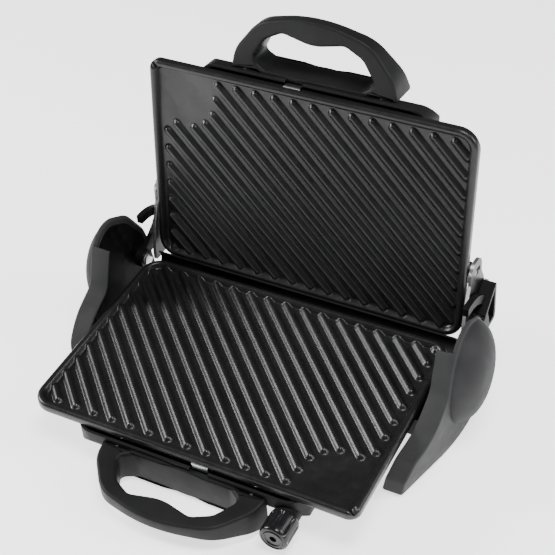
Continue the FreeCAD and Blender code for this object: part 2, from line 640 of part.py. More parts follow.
def rubber_feet():
    """Four pads under the cheeks, as separate solids."""
    pads = []
    slope = -tan(radians(BODY_TILT))
    for x, y, half_x, half_y in ((151.0, -13.0, 4.5, 8.0), (163.5, 96.0, 6.0, 11.0)):
        low = table_height(y)
        corners = [(y - half_y, low - slope * half_y), (y + half_y, low + slope * half_y),
                   (y + half_y, low + slope * half_y + FOOT_HEIGHT),
                   (y - half_y, low - slope * half_y + FOOT_HEIGHT)]
        pad = side_prism(corners, x - half_x, x + half_x)
        pads += [pad, mirrored(pad)]
    return Part.Compound(pads)


# ---- Hinge arms (right side, mirrored for the left) ------------------------
def open_point(y, z):
    """Where a point (y, z) of the closed lid stands with the lid open."""
    a, b = y - PIVOT_Y, z - PIVOT_Z
    turn = radians(-LID_OPEN)
    return (PIVOT_Y + a * cos(turn) - b * sin(turn), PIVOT_Z + a * sin(turn) + b * cos(turn))


FLANGE_OUTER_X = 159.0         # turned-out front edge of a link, in the open lid's place
FLANGE_BACK, FLANGE_FRONT = 155.4, 157.0
STUD_Y, STUD_Z = open_point(STUD_CLOSED_Y, STUD_CLOSED_Z)
LID_NORMAL = (sin(radians(LID_OPEN)), cos(radians(LID_OPEN)))


def arm_link():
    """Steel link with a slot that the lid's stud rides in, flanged along its front edge."""
    outline = [(108.5, -13.5, 3.0), (109.5, -1.0, 12.0), (117.5, 30.0, 30.0),
               (124.5, 47.0, 8.0), (125.5, 66.0, 9.0), (149.5, 65.0, 12.0), (150.0, 46.0, 8.0),
               (FLANGE_FRONT, 33.0, 2.5), (FLANGE_FRONT, -8.0, 2.5), (146.0, -10.5, 4.0), (120.0, -13.5, 4.0)]
    flange = box(LINK_INNER_X, FLANGE_OUTER_X, FLANGE_BACK, FLANGE_FRONT, -5.5, 30.5)
    link = side_prism(outline, LINK_INNER_X, LINK_OUTER_X).fuse(flange).removeSplitter()
    radius = STUD_RADIUS + 0.3
    across = (-LID_NORMAL[1], LID_NORMAL[0])
    far = (STUD_Y + LID_NORMAL[0] * FLOAT_TRAVEL, STUD_Z + LID_NORMAL[1] * FLOAT_TRAVEL)
    slot = [(STUD_Y + across[0] * radius, STUD_Z + across[1] * radius),
            (STUD_Y - across[0] * radius, STUD_Z - across[1] * radius),
            (far[0] - across[0] * radius, far[1] - across[1] * radius),
            (far[0] + across[0] * radius, far[1] + across[1] * radius)]
    x0, x1 = LINK_INNER_X - 1.0, LINK_OUTER_X + 1.0
    link = link.cut(side_prism(slot, x0, x1))
    for y, z in ((STUD_Y, STUD_Z), far):
        link = link.cut(rod_x(radius, x0, x1, y, z))
    for y, z in RIVET_PLACES:
        link = link.cut(rod_x(1.6, x0, x1, y, z))
    return link


RIVET_PLACES = (polar(46.0, 30.0), polar(46.0, 6.0))
COVER_TAIL_ANGLE = -1.0
COVER_OUTER = 68.0
COVER_INNER = 35.0
SHROUD_INNER, SHROUD_OUTER = 44.0, 52.0
SHROUD_ANGLE = 92.0           # the shroud's free end, from +Y up


def arm_cover():
    """Black quadrant over the link, turning on the hinge pin inside the cheek."""
    lead_out, tail_out = polar(COVER_OUTER, COVER_LEAD_ANGLE), polar(54.5, COVER_TAIL_ANGLE)
    lead_in, tail_in = polar(COVER_INNER, COVER_LEAD_ANGLE), polar(COVER_INNER, COVER_TAIL_ANGLE)
    quadrant = side_prism([(*lead_in, 1.0), (*lead_out, 2.0), (*tail_out, 5.0), (*tail_in, 3.0)],
                          LINK_OUTER_X, 166.2)
    pocket = side_prism([polar(40.0, 33.0), polar(60.0, 33.5), polar(50.0, 4.0),
                         polar(40.0, 4.0)], 159.0, 170.0)
    flange_room = box(LINK_OUTER_X - 1.0, FLANGE_OUTER_X + 0.05, FLANGE_BACK - 0.05,
                      FLANGE_FRONT + 20.0, -30.0, 40.0)
    quadrant = quadrant.cut(pocket).cut(flange_room)
    web = side_prism([polar(3.0, COVER_LEAD_ANGLE + 60.0), polar(36.0, COVER_LEAD_ANGLE - 2.0),
                      polar(36.0, COVER_TAIL_ANGLE + 2.0), polar(3.0, COVER_TAIL_ANGLE - 60.0)],
                     161.5, 166.2)
    hub = rod_x(9.0, 158.2, 166.2, PIVOT_Y, PIVOT_Z)
    shroud = sector(SHROUD_INNER, SHROUD_OUTER, COVER_LEAD_ANGLE - 1.0, SHROUD_ANGLE,
                    CHEEK_INNER_X + 0.5, 161.0)
    cover = quadrant.multiFuse([web, hub, shroud])
    cover = cover.cut(rod_x(BUSH_RADIUS, 155.0, 167.0, PIVOT_Y, PIVOT_Z))
    for y, z in RIVET_PLACES:
        cover = cover.cut(rod_x(1.6, LINK_OUTER_X - 1.0, 160.0, y, z))
    return cover.removeSplitter()


BUSH_RADIUS = 5.6


def hinge_bush():
    """Nylon bush pressed into the arm, running on the hinge pin."""
    bush = rod_x(BUSH_RADIUS, 158.2, 166.2, PIVOT_Y, PIVOT_Z)
    return bush.cut(rod_x(PIN_RADIUS + RUNNING_FIT, 157.0, 168.0, PIVOT_Y, PIVOT_Z))


def arm_rivets():
    rivets = []
    for y, z in RIVET_PLACES:
        shaft = rod_x(1.6, LINK_INNER_X, 158.0, y, z)
        rivets.append(shaft.fuse(rod_x(2.8, LINK_INNER_X - 0.7, LINK_INNER_X, y, z)))
    return Part.Compound(rivets)


def lid_bracket():
    """Arm out of the lid's housing that ends in the stud in the link's slot (lid closed)."""
    y, z = STUD_CLOSED_Y, STUD_CLOSED_Z
    stud = rod_x(STUD_RADIUS, 146.0, LINK_OUTER_X, y, z)
    bar = box(SHELL_HALF_LENGTH + 0.05, 149.6, y - 9.0, y + 9.0, z - 3.2, z + 3.2)
    foot = box(SHELL_HALF_LENGTH + 0.05, SHELL_HALF_LENGTH + 4.0, y - 16.0, y + 16.0,
               z - 3.2, z + 12.0)
    bracket = bar.multiFuse([stud, foot])
    for offset in (-11.0, 11.0):
        bracket = bracket.cut(rod_x(1.7, SHELL_HALF_LENGTH - 5.0, SHELL_HALF_LENGTH + 10.0,
                                    y + offset, z + 8.0))
    return bracket


def lid_bracket_screws():
    screws = []
    for offset in (-11.0, 11.0):
        y, z = STUD_CLOSED_Y + offset, STUD_CLOSED_Z + 8.0
        outside = SHELL_HALF_LENGTH + 4.0
        shaft = rod_x(1.6, SHELL_HALF_LENGTH - SHELL_WALL, outside, y, z)
        screws.append(shaft.fuse(rod_x(3.0, outside, outside + 1.6, y, z)))
    return Part.Compound(screws)


# ---- Placing ---------------------------------------------------------------
def closed_lid(shape):
    """Turns a half over so that it lies on the base as the closed lid."""
    placed = shape.copy()
    placed.rotate(vector(0, 0, 0), vector(0, 1, 0), 180.0)
    placed.translate(vector(0, 0, RIM_GAP))
    return placed


def opened(shape):
    """Swings a piece of the closed lid up to where it stands."""
    placed = shape.copy()
    placed.rotate(vector(0, PIVOT_Y, PIVOT_Z), vector(1, 0, 0), -LID_OPEN)
    return placed


def lid_half(shape):
    return opened(closed_lid(shape))


def both_sides(shape):
    return Part.Compound([shape, mirrored(shape)])


def lid_shell_with_holes():
    """The lid's housing, drilled for the two brackets' screws."""
    shape = closed_lid(lid_shell())
    for offset in (-11.0, 11.0):
        hole = rod_x(1.6, -130.0, 130.0, STUD_CLOSED_Y + offset, STUD_CLOSED_Z + 8.0)
        shape = shape.cut(hole)
    return opened(shape)


def build():
    """Every piece by name, in the grill frame of the base."""
    pieces = {
        "base_shell": base_shell(),
        "base_bottom_cover": bottom_cover(),
        "bottom_cover_screws": bottom_cover_screws(),
        "base_handle": handle(),
        "base_handle_screws": handle_screws(),
        "base_plate": grill_plate(),
        "base_clip": release_clip(),
        "base_reflector": reflector(),
        "base_heating_element": heating_element(),
        "base_element_brackets": element_brackets(),
        "thermostat": thermostat(),
        "thermal_fuse": thermal_fuse(),
        "terminal_block": terminal_block(),
        "cord_gland": cord_gland(),
        "control_knob": control_knob(),
        "knob_shaft": knob_shaft(),
        "rubber_feet": rubber_feet(),
        "lid_shell": lid_shell_with_holes(),
        "lid_handle": lid_half(handle()),
        "lid_handle_screws": lid_half(handle_screws()),
        "lid_plate": lid_half(grill_plate()),
        "lid_clip": lid_half(release_clip()),
        "lid_reflector": lid_half(reflector()),
        "lid_heating_element": lid_half(heating_element()),
        "lid_element_brackets": lid_half(element_brackets()),
        "lid_bracket_screws": opened(both_sides(lid_bracket_screws())),
    }
    sided = {
        "cheek": cheek(),
        "dome_cap": dome_cap(),
        "cheek_screws": cheek_screws(),
        "hinge_pin": hinge_pin(),
        "hinge_bush": hinge_bush(),
        "arm_link": arm_link(),
        "arm_cover": arm_cover(),
        "arm_rivets": arm_rivets(),
        "lid_bracket": opened(lid_bracket()),
    }
    for name, shape in sided.items():
        pieces["right_" + name] = shape
        pieces["left_" + name] = mirrored(shape)
    return pieces


def main():
    pieces = build()
    for shape in pieces.values():
        shape.rotate(vector(0, 0, 0), vector(1, 0, 0), BODY_TILT)
    whole = Part.Compound(list(pieces.values())).optimalBoundingBox(False, False)
    shift = vector(-(whole.XMin + whole.XMax) / 2, -(whole.YMin + whole.YMax) / 2, -whole.ZMin)
    os.makedirs("parts", exist_ok=True)
    for name, shape in pieces.items():
        shape.translate(shift)
        shape.exportStep("parts/" + name + ".step")
        solids = len(shape.Solids)
        print(f"{name}: {solids} solid(s), {shape.Volume / 1000:.1f} cm3, valid {shape.isValid()}")
    pivot_turn = radians(BODY_TILT)
    pivot_y = PIVOT_Y * cos(pivot_turn) - PIVOT_Z * sin(pivot_turn) + shift.y
    pivot_z = PIVOT_Y * sin(pivot_turn) + PIVOT_Z * cos(pivot_turn) + shift.z
    print(f"hinge axis at y {pivot_y:.3f}, z {pivot_z:.3f}; shift {shift}")
    print(f"overall {whole.XLength:.1f} x {whole.YLength:.1f} x {whole.ZLength:.1f} mm")


main()
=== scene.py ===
"""The looks of the panini press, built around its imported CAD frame.

Shapes are laid out in millimetres in a grill frame, one for each half: X to
the right, Y towards the hinge, Z out of the plate, with the plate's rim crest
at Z = 0 and its centre at X = Y = 0. BASE and LID carry those frames into the
row's frame in metres, worked out from the frame's own joints.
"""

import json
from math import atan2, cos, hypot, pi, radians, sin, tan

import bmesh
import bpy
import numpy as np
from mathutils import Matrix, Vector
from mathutils.geometry import delaunay_2d_cdt


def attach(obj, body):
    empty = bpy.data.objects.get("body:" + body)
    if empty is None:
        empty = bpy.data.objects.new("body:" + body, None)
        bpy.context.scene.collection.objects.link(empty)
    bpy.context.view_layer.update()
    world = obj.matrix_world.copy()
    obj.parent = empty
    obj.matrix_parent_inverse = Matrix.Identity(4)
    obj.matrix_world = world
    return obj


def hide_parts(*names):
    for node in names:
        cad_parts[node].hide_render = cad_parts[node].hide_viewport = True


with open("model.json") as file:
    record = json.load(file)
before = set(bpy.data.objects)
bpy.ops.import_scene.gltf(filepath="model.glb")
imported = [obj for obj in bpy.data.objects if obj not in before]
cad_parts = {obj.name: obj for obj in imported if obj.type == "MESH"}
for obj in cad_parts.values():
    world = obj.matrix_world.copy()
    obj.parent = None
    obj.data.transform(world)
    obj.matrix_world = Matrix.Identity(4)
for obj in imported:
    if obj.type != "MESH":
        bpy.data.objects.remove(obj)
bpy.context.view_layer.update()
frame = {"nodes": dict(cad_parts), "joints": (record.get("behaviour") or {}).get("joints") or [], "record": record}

# ---- Driving dimensions, in millimetres of the grill frame ------------------
PIVOT_Y, PIVOT_Z = 103.1, -9.3          # hinge axis
LID_OPEN = 97.7                         # degrees from closed to where the lid stands
RIM_GAP = 0.4
HALF_LENGTH, HALF_WIDTH = 150.0, 100.0  # of a plate
PLATE_THICKNESS = 8.0
PLATE_CORNER = 18.0
SPOUT_CORNER = 10.0
CREST_INSET = 3.2
RIM_FOOT = 8.4
PAN_DEPTH = 5.0
RIDGE_COUNT = 26
RIDGE_STEP = 17.8
RIDGE_FIRST_X = -129.8
RIDGE_FRONT, RIDGE_BACK = -86.3, 92.0
RIDGE_LEFT, RIDGE_RIGHT = -140.5, 136.0
RIDGE_HALF_WIDTH = 4.3
RIDGE_HEIGHT = 3.3
RIDGE_ROUNDNESS = 1.15                  # above 1 narrows a ridge's crown
RIM_CREST_WIDTH = 1.2
RIM_OVERRUN = 1.6                       # the rim's slope aims this far below the floor
SPOUT_REACH, SPOUT_DEPTH = 34.0, 3.4
SPOUT_HALF_FLAT, SPOUT_SLOPE, SPOUT_FALL = 0.4, 1.35, 0.02
SKIRT_INSET = 6.0
EDGE_DROP = 3.0
DISH_X, DISH_Y, DISH_RADIUS = 118.0, -70.0, 31.0  # where the ridges stop short
DISH_SHIFT, DISH_SPREAD = 6.0, 4.0      # the hollow sits nearer the corner and is wider
DISH_DEPTH, DISH_EDGE = 2.0, 1.15
CREASE_COUNT, CREASE_DEPTH = 4.0, 0.3   # soft folds in the dish
SHELL_FRONT = -104.0
KNOB_X, KNOB_Z, KNOB_RADIUS = 92.0, -25.0, 12.5
KNOB_FRONT, KNOB_BACK = -128.5, -106.0
CHEEK_INNER, CHEEK_OUTER, CHEEK_WALL = 155.0, 172.5, 168.3
CUT_START, CUT_FINISH = -80.0, 136.5    # a cheek's rim is cut back to its wall between these
                                        # angles about the hinge, from +Y up
HEAD_Y, HEAD_Z = 73.7, 2.0              # centre of a cheek's head and its dome
DOME_HALF_WIDTH, DOME_HALF_HEIGHT, DOME_HEIGHT = 39.2, 48.4, 19.0
LEG_ANGLE = 40.5                        # a cheek's leg runs down to the front at this angle
LEG_BEND_START, LEG_BEND_RADIUS, LEG_TAPER = 60.0, 120.0, 0.3
CHEEK_EDGE_ROUND = 2.4
TABLE_AT_CENTRE = -60.0
FOOT_HEIGHT = 1.6

# ---- Meshing ----------------------------------------------------------------
ROW_SPACING = 0.866                     # between staggered rows, as a share of the step
FILL_TOLERANCE = 1e-5
DICE_SPACING = 0.012                    # metres
CAD_MERGE_DISTANCE = 2e-6               # metres
FLAT_ANGLE = 0.8                        # degrees within which CAD facets are one face
EASED_ANGLE = 32.0                      # degrees from which a CAD edge is rounded
EASED_SEGMENTS = 2
SHADING_WEIGHT = 80                     # how far large faces win when normals are averaged


# ---- Frames -----------------------------------------------------------------
def joint(name):
    """The frame's record of a joint."""
    return next(item for item in frame["joints"] if item["name"] == name)


KNOB_AXIS = joint("knob_turn")["axis"]
TILT = atan2(KNOB_AXIS[2], KNOB_AXIS[1])
BASE_TURN = Matrix.Rotation(TILT, 4, "X")
MILLIMETRES = Matrix.Scale(0.001, 4)
HINGE = Vector(joint("lid_hinge")["pos_m"])
BASE = (Matrix.Translation(HINGE) @ BASE_TURN @ MILLIMETRES
        @ Matrix.Translation((0.0, -PIVOT_Y, -PIVOT_Z)))
PIVOT = Matrix.Translation((0.0, PIVOT_Y, PIVOT_Z))
OPENING = PIVOT @ Matrix.Rotation(radians(-LID_OPEN), 4, "X") @ PIVOT.inverted()
TURNED_OVER = Matrix.Translation((0.0, 0.0, RIM_GAP)) @ Matrix.Rotation(pi, 4, "Y")
LID = BASE @ OPENING @ TURNED_OVER
MIRROR = Matrix.Scale(-1.0, 4, Vector((1.0, 0.0, 0.0)))


# ---- Small geometry helpers -------------------------------------------------
def rounded(corners, steps):
    """Points along an outline whose corners are (a, b) or (a, b, radius)."""
    points = []
    count = len(corners)
    for index, corner in enumerate(corners):
        at = Vector(corner[:2])
        radius = corner[2] if len(corner) > 2 else 0.0
        before = (Vector(corners[index - 1][:2]) - at).normalized()
        after = (Vector(corners[(index + 1) % count][:2]) - at).normalized()
        if radius <= 0.0:
            points.append(at)
            continue
        half = before.angle(after) / 2
        centre = at + (before + after).normalized() * radius / sin(half)
        start = at + before * radius / tan(half) - centre
        finish = at + after * radius / tan(half) - centre
        turn = start.angle_signed(finish)
        for step in range(steps + 1):
            points.append(centre + Matrix.Rotation(-turn * step / steps, 2) @ start)
    return [(point.x, point.y) for point in points]


def resampled(points, count):
    """The closed outline through points, as count evenly spaced points."""
    loop = np.array(points + points[:1])
    lengths = np.concatenate([[0.0], np.cumsum(np.hypot(*np.diff(loop, axis=0).T))])
    places = np.linspace(0.0, lengths[-1], count, endpoint=False)
    return np.stack([np.interp(places, lengths, loop[:, axis]) for axis in (0, 1)], axis=1)


def inward(points, distance):
    """A closed outline's points moved inwards, or outwards for a negative distance."""
    loop = np.array(points, float)
    along = np.roll(loop, -1, axis=0) - np.roll(loop, 1, axis=0)
    along /= np.maximum(np.hypot(along[:, 0], along[:, 1]), 1e-9)[:, None]
    area = np.sum(loop[:, 0] * np.roll(loop[:, 1], -1) - np.roll(loop[:, 0], -1) * loop[:, 1])
    normal = np.stack([-along[:, 1], along[:, 0]], axis=1) * np.sign(area)
    return loop + normal * np.reshape(distance, (-1, 1))


def bridge(first, second, count):
    """Quads between two rings of vertices that start at the given indices."""
    return [(first + i, first + (i + 1) % count, second + (i + 1) % count, second + i)
            for i in range(count)]


def filled(outline, extra=()):
    """Triangles that fill a closed outline and use some extra points inside it.

    Returns the points added inside it and the faces, which index the outline's
    points and then the added ones.
    """
    ring = [Vector(point) for point in outline]
    count = len(ring)
    edges = [(i, (i + 1) % count) for i in range(count)]
    verts, _, faces, origins, _, _ = delaunay_2d_cdt(
        ring + [Vector(point) for point in extra], edges, [], 0, FILL_TOLERANCE)
    index, added = {}, []
    for i, sources in enumerate(origins):
        on_ring = [source for source in sources if source < count]
        if on_ring:
            index[i] = on_ring[0]
        else:
            index[i] = count + len(added)
            added.append(verts[i])
    kept = []
    for face in faces:
        centre = sum((verts[i] for i in face), Vector((0.0, 0.0))) / len(face)
        if inside(centre, ring):
            kept.append([index[i] for i in face])
    return added, kept


def inside(point, ring):
    """Whether a point is within a closed ring of points."""
    crossings = 0
    for index, a in enumerate(ring):
        b = ring[index - 1]
        if (a.y > point.y) != (b.y > point.y):
            if point.x < (b.x - a.x) * (point.y - a.y) / (b.y - a.y) + a.x:
                crossings += 1
    return crossings % 2 == 1


def grid_inside(outline, step, margin):
    """Points of a staggered grid that lie inside an outline, clear of its edge."""
    loop = np.array(outline)
    low, high = loop.min(axis=0), loop.max(axis=0)
    found = []
    for row, b in enumerate(np.arange(low[1] + step / 2, high[1], step * ROW_SPACING)):
        for a in np.arange(low[0] + step * (0.25 + 0.5 * (row % 2)), high[0], step):
            near = np.hypot(loop[:, 0] - a, loop[:, 1] - b).min()
            if near > margin and inside(Vector((a, b)), [Vector(p) for p in outline]):
                found.append((a, b))
    return found


def make_piece(name, vertices, faces, place, slot, body, node, sharp, material=None):
    """A mesh object in the row frame, riding on a body and standing for a CAD node.

    It has its slot's own material unless another is given, and its edges are
    sharp from the given angle in degrees.
    """
    mesh = bpy.data.meshes.new(name)
    mesh.from_pydata([tuple(v) for v in vertices], [], [tuple(f) for f in faces])
    mesh.transform(place)
    work = bmesh.new()
    work.from_mesh(mesh)
    bmesh.ops.remove_doubles(work, verts=work.verts, dist=1e-7)
    bmesh.ops.recalc_face_normals(work, faces=work.faces)
    work.to_mesh(mesh)
    work.free()
    mesh.shade_smooth()
    mesh.set_sharp_from_angle(angle=radians(sharp))
    piece = bpy.data.objects.new(name, mesh)
    bpy.context.scene.collection.objects.link(piece)
    piece.data.materials.append(material or MATERIALS[slot])
    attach(piece, body)
    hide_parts(node)


def apply_modifiers(piece):
    """Bakes a piece's modifiers into its mesh."""
    depsgraph = bpy.context.evaluated_depsgraph_get()
    mesh = bpy.data.meshes.new_from_object(piece.evaluated_get(depsgraph))
    piece.modifiers.clear()
    piece.data = mesh


# ---- Materials --------------------------------------------------------------
class Surface:
    """A Principled material and the few node chains that the press needs."""

    def __init__(self, name, color, roughness, metallic=0.0, specular=0.5):
        self.material = bpy.data.materials.new(name)
        self.material.use_nodes = True
        self.nodes = self.material.node_tree.nodes
        self.links = self.material.node_tree.links
        self.shader = self.nodes["Principled BSDF"]
        self.shader.inputs["Base Color"].default_value = (*color, 1.0)
        self.shader.inputs["Roughness"].default_value = roughness
        self.shader.inputs["Metallic"].default_value = metallic
        self.shader.inputs["Specular IOR Level"].default_value = specular
        self.place = self.nodes.new("ShaderNodeTexCoord").outputs["Object"]
        self.height = None

    def noise(self, scale, detail=3.0, stretch=(1.0, 1.0, 1.0)):
        mapping = self.nodes.new("ShaderNodeMapping")
        mapping.inputs["Scale"].default_value = stretch
        self.links.new(self.place, mapping.inputs["Vector"])
        texture = self.nodes.new("ShaderNodeTexNoise")
        texture.inputs["Scale"].default_value = scale
        texture.inputs["Detail"].default_value = detail
        self.links.new(mapping.outputs["Vector"], texture.inputs["Vector"])
        return texture.outputs["Fac"]

    def ranged(self, value, low, high, to_low, to_high):
        node = self.nodes.new("ShaderNodeMapRange")
        node.inputs["From Min"].default_value = low
        node.inputs["From Max"].default_value = high
        node.inputs["To Min"].default_value = to_low
        node.inputs["To Max"].default_value = to_high
        self.links.new(value, node.inputs["Value"])
        return node.outputs["Result"]

    def mixed(self, factor, first, second):
        node = self.nodes.new("ShaderNodeMix")
        node.data_type = "RGBA"
        for socket, value in ((node.inputs[6], first), (node.inputs[7], second)):
            if isinstance(value, tuple):
                socket.default_value = (*value, 1.0)
            else:
                self.links.new(value, socket)
        self.links.new(factor, node.inputs[0])
        return node.outputs[2]

    def edges(self, low, high):
        """High on convex edges: the mask for the lighter painted highlight there."""
        return self.ranged(self.nodes.new("ShaderNodeNewGeometry").outputs["Pointiness"],
                           low, high, 0.0, 1.0)

    def color(self, output):
        self.links.new(output, self.shader.inputs["Base Color"])

    def roughness(self, output):
        self.links.new(output, self.shader.inputs["Roughness"])

    def bump(self, output, distance, strength=1.0):
        node = self.nodes.new("ShaderNodeBump")
        node.inputs["Distance"].default_value = distance
        node.inputs["Strength"].default_value = strength
        self.links.new(output, node.inputs["Height"])
        if self.height is not None:
            self.links.new(self.height, node.inputs["Normal"])
        self.height = node.outputs["Normal"]
        self.links.new(self.height, self.shader.inputs["Normal"])


def moulded_plastic(name, shade, roughness, grain=1800.0, depth=0.00006, specular=0.5):
    """Black moulding with a spark-eroded grain, cloudy gloss and convex edges painted lighter as a painted
    highlight.
    """
    surface = Surface(name, (shade, shade, shade * 1.03), roughness, specular=specular)
    cloud = surface.noise(26.0, 4.0)
    dark = (shade * 0.86, shade * 0.86, shade * 0.9)
    light = (shade * 1.18, shade * 1.19, shade * 1.22)
    tint = surface.mixed(surface.ranged(cloud, 0.35, 0.65, 0.0, 1.0), dark, light)
    # Lighter colour on convex edges: a painted highlight.
    edge_highlight = (shade * 1.7, shade * 1.7, shade * 1.72)
    surface.color(surface.mixed(surface.edges(0.52, 0.62), tint, edge_highlight))
    surface.roughness(surface.ranged(surface.noise(90.0, 5.0), 0.3, 0.7,
                                     roughness - 0.05, roughness + 0.05))
    surface.bump(surface.noise(grain, 2.0), depth)
    surface.bump(surface.noise(220.0, 2.0), 0.00002, 0.4)
    return surface.material


def nonstick_coating(name):
    """Sprayed non-stick coat on cast metal: orange peel, fine grain, light speckle, and a painted highlight on
    convex edges and ridge tops.
    """
    surface = Surface(name, (0.007, 0.007, 0.0075), 0.36, specular=0.36)
    cloud = surface.ranged(surface.noise(18.0, 4.0), 0.35, 0.65, 0.0, 1.0)
    coat = surface.mixed(cloud, (0.006, 0.006, 0.0064), (0.009, 0.009, 0.0094))
    speck = surface.ranged(surface.noise(2600.0, 1.0), 0.62, 0.74, 0.0, 1.0)
    flecked = surface.mixed(speck, coat, (0.03, 0.03, 0.031))
    # Convex edges and ridge crests painted lighter: a painted highlight.
    surface.color(surface.mixed(surface.edges(0.53, 0.66), flecked, (0.03, 0.03, 0.031)))
    surface.roughness(surface.ranged(surface.noise(140.0, 5.0), 0.3, 0.7, 0.28, 0.38))
    surface.bump(surface.noise(1500.0, 2.0), 0.00008)
    surface.bump(surface.noise(420.0, 2.0), 0.00006, 0.6)
    return surface.material


def bright_metal(name, shade, roughness, stretch=(1.0, 30.0, 30.0)):
    """Plated or rolled metal with fine drawn lines and faint handling marks."""
    surface = Surface(name, (shade, shade, shade * 1.01), roughness, metallic=1.0)
    cloud = surface.ranged(surface.noise(60.0, 4.0), 0.35, 0.65, 0.0, 1.0)
    surface.color(surface.mixed(cloud, (shade * 0.86, shade * 0.86, shade * 0.88),
                                (shade, shade, shade * 1.01)))
    lines = surface.noise(120.0, 4.0, stretch=stretch)
    surface.roughness(surface.ranged(lines, 0.3, 0.7, roughness - 0.06, roughness + 0.1))
    surface.bump(lines, 0.00002, 0.5)
    return surface.material


def link_metal(name):
    """Plated pressed steel whose faces turned along X, its broad faces, are painted near-black as painted shade;
    its other faces keep the plated colour.
    """
    surface = Surface(name, (0.5, 0.5, 0.51), 0.36, metallic=1.0)
    split = surface.nodes.new("ShaderNodeSeparateXYZ")
    facing = surface.nodes.new("ShaderNodeMath")
    facing.operation = "ABSOLUTE"
    normal = surface.nodes.new("ShaderNodeNewGeometry").outputs["Normal"]
    surface.links.new(normal, split.inputs["Vector"])
    surface.links.new(split.outputs["X"], facing.inputs[0])
    # Faces turned along X get painted shade: near-black in place of the plated colour.
    painted_shade_mask = surface.ranged(facing.outputs["Value"], 0.5, 0.75, 0.0, 1.0)
    cloud = surface.ranged(surface.noise(60.0, 4.0), 0.35, 0.65, 0.0, 1.0)
    plated_tone = surface.mixed(cloud, (0.42, 0.42, 0.43), (0.56, 0.56, 0.57))
    black = surface.mixed(cloud, (0.018, 0.018, 0.019), (0.028, 0.028, 0.03))
    surface.color(surface.mixed(painted_shade_mask, plated_tone, black))
    lines = surface.noise(120.0, 4.0, stretch=(30.0, 30.0, 1.0))
    surface.roughness(surface.ranged(lines, 0.3, 0.7, 0.3, 0.44))
    surface.bump(lines, 0.00002, 0.5)
    return surface.material


def gloss_plastic(name):
    """Polished black moulding for the knob."""
    surface = Surface(name, (0.008, 0.008, 0.009), 0.2, specular=0.35)
    cloud = surface.ranged(surface.noise(80.0, 4.0), 0.35, 0.65, 0.0, 1.0)
    surface.color(surface.mixed(cloud, (0.006, 0.006, 0.007), (0.011, 0.011, 0.012)))
    surface.roughness(surface.ranged(surface.noise(300.0, 5.0), 0.3, 0.7, 0.16, 0.3))
    surface.bump(surface.noise(500.0, 2.0), 0.00003, 0.5)
    return surface.material


def plain_moulding(name, color, roughness):
    """Light ceramic, nylon or rubber: a mottled colour with a fine pitted surface."""
    surface = Surface(name, color, roughness)
    cloud = surface.ranged(surface.noise(120.0, 4.0), 0.35, 0.65, 0.0, 1.0)
    surface.color(surface.mixed(cloud, tuple(c * 0.85 for c in color), color))
    surface.roughness(surface.ranged(surface.noise(400.0), 0.3, 0.7,
                                     roughness - 0.06, roughness + 0.06))
    surface.bump(surface.noise(900.0), 0.00006)
    return surface.material


MATERIALS = {
    "housing_plastic": moulded_plastic("housing plastic", 0.009, 0.5, specular=0.15),
    "handle_plastic": moulded_plastic("handle plastic", 0.012, 0.46, specular=0.1),
    "cheek_plastic": moulded_plastic("cheek plastic", 0.034, 0.52, specular=0.04),
    "arm_plastic": moulded_plastic("arm plastic", 0.005, 0.5, specular=0.12),
    "nonstick_plate": nonstick_coating("non-stick coating"),
    "bright_clip": bright_metal("nickelled clip", 0.78, 0.22),
    # The link: plated steel with painted shade on its broad faces.
    "link_steel": link_metal("link with painted shade"),
    "black_steel": moulded_plastic("black paint on steel", 0.012, 0.35, 900.0, 0.00003),
    "pin_steel": bright_metal("turned steel", 0.6, 0.28),
    "screw_steel": bright_metal("plated screw", 0.45, 0.35, (1.0, 1.0, 1.0)),
    "reflector_metal": bright_metal("rolled reflector", 0.78, 0.25),
    "element_sheath": bright_metal("heat-dulled sheath", 0.22, 0.5, (1.0, 1.0, 1.0)),
    "bracket_steel": bright_metal("pressed bracket", 0.5, 0.38),
    "ceramic_white": plain_moulding("off-white moulding", (0.75, 0.73, 0.68), 0.5),
    "nylon_bush": plain_moulding("natural nylon", (0.65, 0.64, 0.6), 0.4),
    "gland_plastic": moulded_plastic("gland plastic", 0.018, 0.5),
    "knob_plastic": gloss_plastic("knob plastic"),
    "foot_rubber": plain_moulding("soft black rubber", (0.02, 0.02, 0.02), 0.75),
}
# A near-black material for a sheet that paints the shade inside each cheek.
PAINTED_SHADE_LINING = moulded_plastic("painted shade recess", 0.0025, 0.6, specular=0.05)


def finish_cad_nodes():
    """Gives every CAD node the material of its record slot."""
    for entry in frame["record"]["subparts"]:
        node = frame["nodes"][entry["node"]]
        node.data.materials.clear()
        node.data.materials.append(MATERIALS[entry["material_slot"]])


# ---- Grill plates -----------------------------------------------------------
def plate_inset(x, y):
    """How far inside the plate's outer edge points lie."""
    radius = np.where((x > 0) & (y < 0), SPOUT_CORNER, PLATE_CORNER)
    over_x = np.abs(x) - (HALF_LENGTH - radius)
    over_y = np.abs(y) - (HALF_WIDTH - radius)
    corner = np.hypot(np.maximum(over_x, 0.0), np.maximum(over_y, 0.0))
    return radius - corner - np.minimum(np.maximum(over_x, over_y), 0.0)


